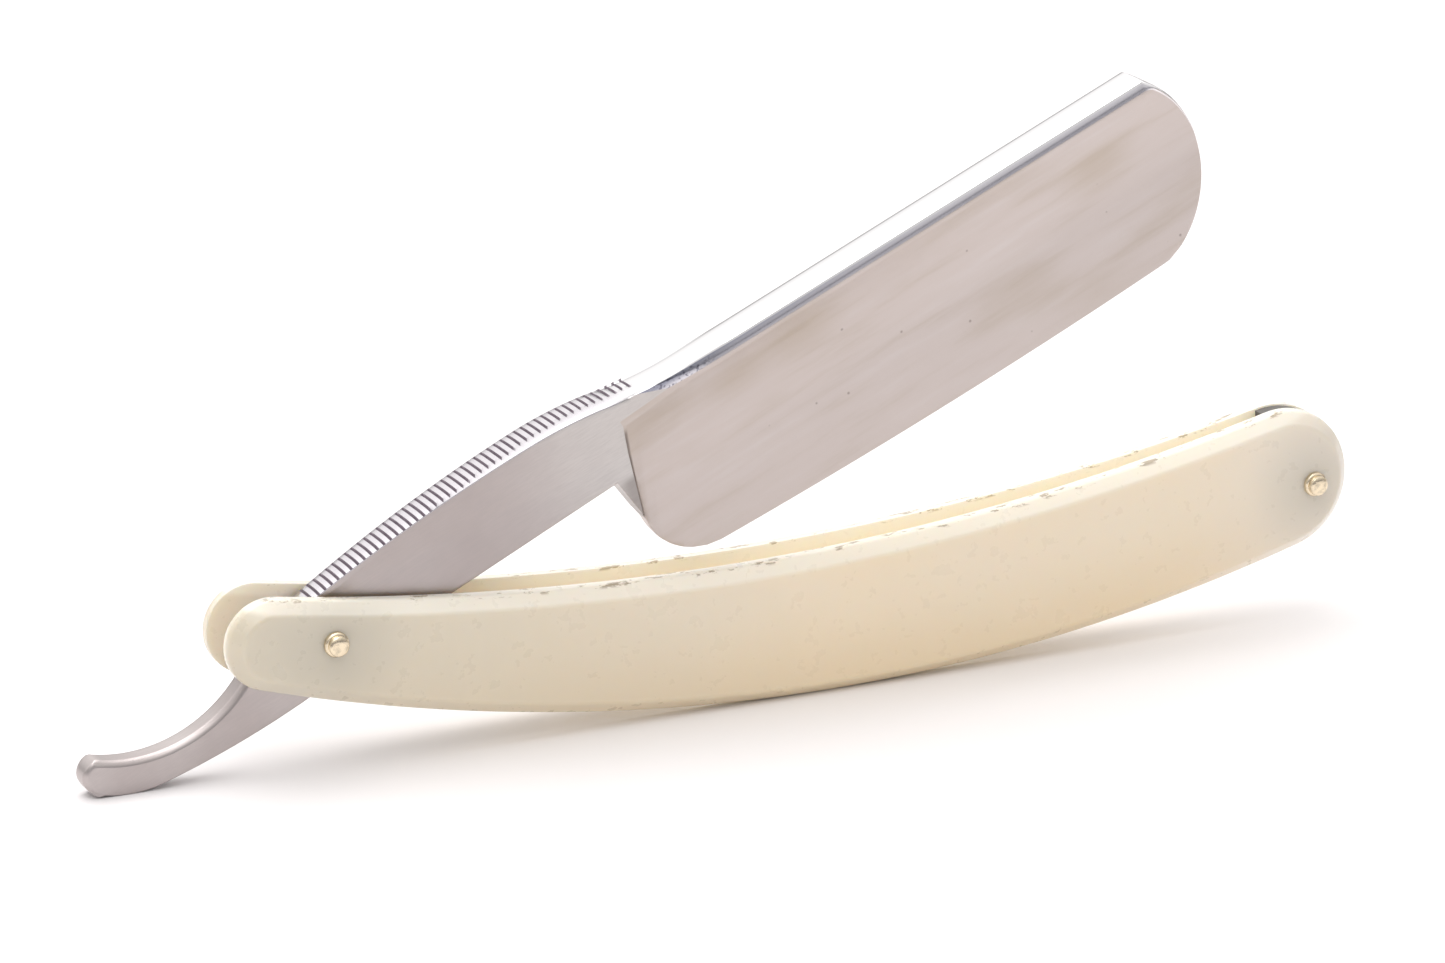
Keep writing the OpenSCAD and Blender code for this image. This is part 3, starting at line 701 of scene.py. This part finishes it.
def makeScale(name, node, side):
    s = scaleSizes
    pivotEnd = Vector(s["pivotEnd"])
    wedgeEnd = Vector((pinSpacing - s["wedgeEndIn"], pivotEnd.y))
    bellyC = circleCrossing(pivotEnd, s["belly"] - s["pivotRadius"],
                            wedgeEnd, s["belly"] - s["wedgeRadius"], 1)
    topC = circleCrossing(pivotEnd, s["hollowTop"] + s["pivotRadius"],
                          wedgeEnd, s["hollowTop"] + s["wedgeRadius"], 1)
    bellyFrom, bellyTo = heading(pivotEnd - bellyC), heading(wedgeEnd - bellyC)
    topFrom, topTo = heading(pivotEnd - topC), heading(wedgeEnd - topC)
    belly, top = [((handlePlace @ Vector((c.x, 0, c.y)) - pivotPoint) / millimetre, r)
                  for c, r in ((bellyC, s["belly"]), (topC, s["hollowTop"]))]
    # Centres of the painted shade round the pins
    pins = [(pinSpacing * i, side * s["stainOut"], s["pinShadeRise"] * i) for i in (0, 1)]
    finish = makeCelluloid(name + "Celluloid", pins, belly, top)

    bm = bmesh.new()
    start = pivotEnd + s["pivotRadius"] * Vector((math.cos(topFrom + math.pi), math.sin(topFrom + math.pi)))
    tip = bm.verts.new((start.x, 0, start.y))
    for centre, angle, steps in (
        (pivotEnd, bellyFrom - topFrom + math.pi, 36), (bellyC, bellyTo - bellyFrom, 70),
        (wedgeEnd, topTo - bellyTo + math.pi, 44), (topC, topFrom - topTo, 70)):
        made = bmesh.ops.spin(bm, geom=[tip], cent=(centre.x, 0, centre.y), axis=(0, -1, 0),
                              dvec=(0, 0, 0), angle=angle, steps=steps, use_duplicate=False)
        tip = [v for v in made["geom_last"] if isinstance(v, bmesh.types.BMVert)][0]
    bmesh.ops.remove_doubles(bm, verts=bm.verts, dist=0.01)
    inner = bmesh.ops.contextual_create(bm, geom=bm.edges[:])["faces"][0]
    outward = Vector((0, side, 0))
    made = bmesh.ops.extrude_face_region(bm, geom=[inner])["geom"]
    bmesh.ops.translate(bm, verts=[v for v in made if isinstance(v, bmesh.types.BMVert)],
                        vec=outward * s["thickness"])
    outerFace = [f for f in made if isinstance(f, bmesh.types.BMFace)][0]
    bevels = {"affect": "EDGES", "profile": 0.5, "material": -1, "offset_type": "OFFSET"}
    chamfer = bmesh.ops.bevel(bm, geom=outerFace.edges[:], offset=s["bevel"], segments=1, **bevels)
    faces = set(chamfer["faces"])
    border = [e for e in bm.edges if len(e.link_faces) == 2
              and (e.link_faces[0] in faces) != (e.link_faces[1] in faces)]
    bmesh.ops.bevel(bm, geom=border, offset=s["soften"], segments=4, **bevels)
    innerEdges = [e for e in bm.edges if all(abs(v.co.y) < 1e-4 for v in e.verts)]
    bmesh.ops.bevel(bm, geom=innerEdges, offset=s["innerEdge"], segments=2, **bevels)
    # Cut across at even steps, so that the bow below is smooth
    for i in range(1, s["cuts"] + 1):
        cutX = s["cutFrom"] + i * s["cutStep"]
        bmesh.ops.bisect_plane(bm, geom=bm.verts[:] + bm.edges[:] + bm.faces[:], dist=1e-5,
                               plane_co=(cutX, 0, 0), plane_no=(1, 0, 0))
    for vertex in bm.verts:
        along = min(max(vertex.co.x / pinSpacing, 0.0), 1.0)
        gap = s["pivotGap"] + (s["wedgeGap"] - s["pivotGap"]) * vertex.co.x / pinSpacing
        vertex.co.y += side * (gap / 2 + s["bow"] * math.sin(math.pi * along ** 1.15) ** 2)
    finishPiece(name, bm, handlePlace, [finish], "handle", node, 40.0)


makeScale("frontScale", "front_scale", -1)
makeScale("backScale", "back_scale", 1)


# Pins, collars and washers: half outlines turned about the pin's line
pinSizes = {"rod": 0.8, "head": 1.2, "headHeight": 0.8, "dome": 0.35, "collar": 1.5, "collarHeight": 0.6,
            "washer": 3.2, "clearance": 0.05}


def turnedPiece(name, node, outline, x, finish, steps=64, closed=True):
    # The outline is a list of (distance out from the line, place along it)
    bm = bmesh.new()
    points = [bm.verts.new((r, y, 0)) for r, y in outline]
    edges = [bm.edges.new(pair) for pair in zip(points, points[1:])]
    if closed:
        edges.append(bm.edges.new((points[-1], points[0])))
    bmesh.ops.spin(bm, geom=points + edges, cent=(0, 0, 0), axis=(0, 1, 0), dvec=(0, 0, 0),
                   angle=math.tau, steps=steps, use_merge=True)
    bmesh.ops.translate(bm, verts=bm.verts, vec=(x, 0, 0))
    finishPiece(name, bm, handlePlace, [finish], "handle", node, 35.0)


def makePin(name, node, x, collarBase):
    s = pinSizes
    base = collarBase + s["collarHeight"] + 0.02
    end = base + s["headHeight"]
    half = [(s["rod"], 0), (s["rod"], base), (s["head"] - 0.06, base), (s["head"], base + 0.07),
            (s["head"] + 0.01, base + 0.3), (s["head"] - 0.03, end - s["dome"] - 0.1)]
    for i in range(9):
        part = i / 8
        half.append((s["head"] * math.cos(part * math.pi / 2) ** 0.8 if i < 8 else 0.0,
                     end - s["dome"] + s["dome"] * math.sin(part * math.pi / 2)))
    outline = [(r, -y) for r, y in reversed(half[1:])] + half[1:]
    turnedPiece(name, node, outline, x, paleGold, closed=False)


def makeCollar(name, node, x, base, side):
    s = pinSizes
    inner = s["rod"] + s["clearance"]
    outline = [(inner, base), (s["collar"], base)]
    for i in range(7):
        turn = i / 6 * math.pi / 2
        rounding = s["collarHeight"] * 0.6
        outline.append((s["collar"] - rounding * (1 - math.cos(turn)),
                        base + s["collarHeight"] - rounding * (1 - math.sin(turn))))
    outline.append((inner, base + s["collarHeight"]))
    turnedPiece(name, node, [(r, side * y) for r, y in outline], x, paleGold)


def makeWasher(name, node, side):
    s = pinSizes
    inner = s["rod"] + s["clearance"]
    low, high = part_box(node)
    faces = sorted(abs(v) / millimetre for v in (low.y, high.y))
    soft = 0.08
    outline = [(inner, faces[0]), (s["washer"] - soft, faces[0]), (s["washer"], faces[0] + soft),
               (s["washer"], faces[1] - soft), (s["washer"] - soft, faces[1]), (inner, faces[1])]
    turnedPiece(name, node, [(r, side * y) for r, y in outline], 0, washerBrass)


for end, x in (("pivot", 0.0), ("wedge", pinSpacing)):
    base = min(abs(c.y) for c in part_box(end + "_collar_front")) / millimetre
    makePin(end + "Pin", end + "_pin", x, base)
    makeCollar(end + "CollarFront", end + "_collar_front", x, base, -1)
    makeCollar(end + "CollarBack", end + "_collar_back", x, base, 1)
makeWasher("pivotWasherFront", "pivot_washer_front", -1)
makeWasher("pivotWasherBack", "pivot_washer_back", 1)

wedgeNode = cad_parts["wedge"]
wedgeNode.data.materials.clear()
wedgeNode.data.materials.append(wedgeFinish)
print("wedge finished")

floorMesh = bpy.data.meshes.new("floor")
bm = bmesh.new()
bmesh.ops.create_grid(bm, x_segments=1, y_segments=1, size=4.0)
bm.to_mesh(floorMesh)
bm.free()
floor = bpy.data.objects.new("floor", floorMesh)
scene.collection.objects.link(floor)
floorFinish = newFinish("floorFinish")
floorMesh.materials.append(floorFinish.surface(baseColor=(0.88, 0.86, 0.865, 1), roughness=0.6))

room = Finish(bpy.data.worlds.new("room"))
scene.world = room.owner
way = room.node("ShaderNodeTexCoord", output="Generated")
wayY, wayZ = room.parts(way)[1:]
overhead = room.ramp(wayZ, 0.1, 0.8)
behind = room.ramp(wayY, -0.2, 0.6)
band = room.ramp(abs(wayZ + 0.02), 0.06, 0.34, 1.0, 0.0) * room.ramp(wayY, -0.5, -0.75, 0.0, 1.0)
glow = 0.5 + 0.55 * overhead + 0.6 * behind * room.ramp(wayZ, 0.1, 0.3)
glow = glow * (1 - 0.6 * band) * 0.92
tint = room.mix(band, (1.0, 0.985, 0.975), (0.86, 0.88, 1.0))
backdrop = room.node("ShaderNodeBackground", {}, {"Color": tint, "Strength": glow})
room.node("ShaderNodeOutputWorld", {}, {"Surface": backdrop})


lampTarget = Vector((0, 0, 0.02))


def addSoftbox(name, place, size, power):
    light = bpy.data.lights.new(name, "AREA")
    light.shape = "RECTANGLE"
    light.size, light.size_y = size
    light.energy = power
    lamp = bpy.data.objects.new(name, light)
    lamp.location = place
    lamp.rotation_euler = (lampTarget - Vector(place)).to_track_quat("-Z", "Y").to_euler()
    scene.collection.objects.link(lamp)


addSoftbox("topBox", (-0.1, 0.2, 0.85), (0.8, 0.7), 3.0)
addSoftbox("frontBox", (-0.22, -0.3, 0.65), (0.5, 0.4), 0.7)
print("floor, room and lights ready")

cameraView = {"azimuth": -25.0, "elevation": 17.85, "distance": 0.75,
              "target": (-0.0011, 0.0, 0.02644), "lens": 160.7}
azimuth = math.radians(cameraView["azimuth"])
elevation = math.radians(cameraView["elevation"])
backward = Vector((math.sin(azimuth) * math.cos(elevation),
                   -math.cos(azimuth) * math.cos(elevation), math.sin(elevation)))
camera = bpy.data.objects.new("camera", bpy.data.cameras.new("camera"))
camera.data.lens = cameraView["lens"]
camera.data.sensor_width = 36.0
camera.location = Vector(cameraView["target"]) + backward * cameraView["distance"]
camera.rotation_euler = (-backward).to_track_quat("-Z", "Y").to_euler()
scene.collection.objects.link(camera)
scene.camera = camera
scene.view_settings.view_transform = "Standard"
print("camera ready")
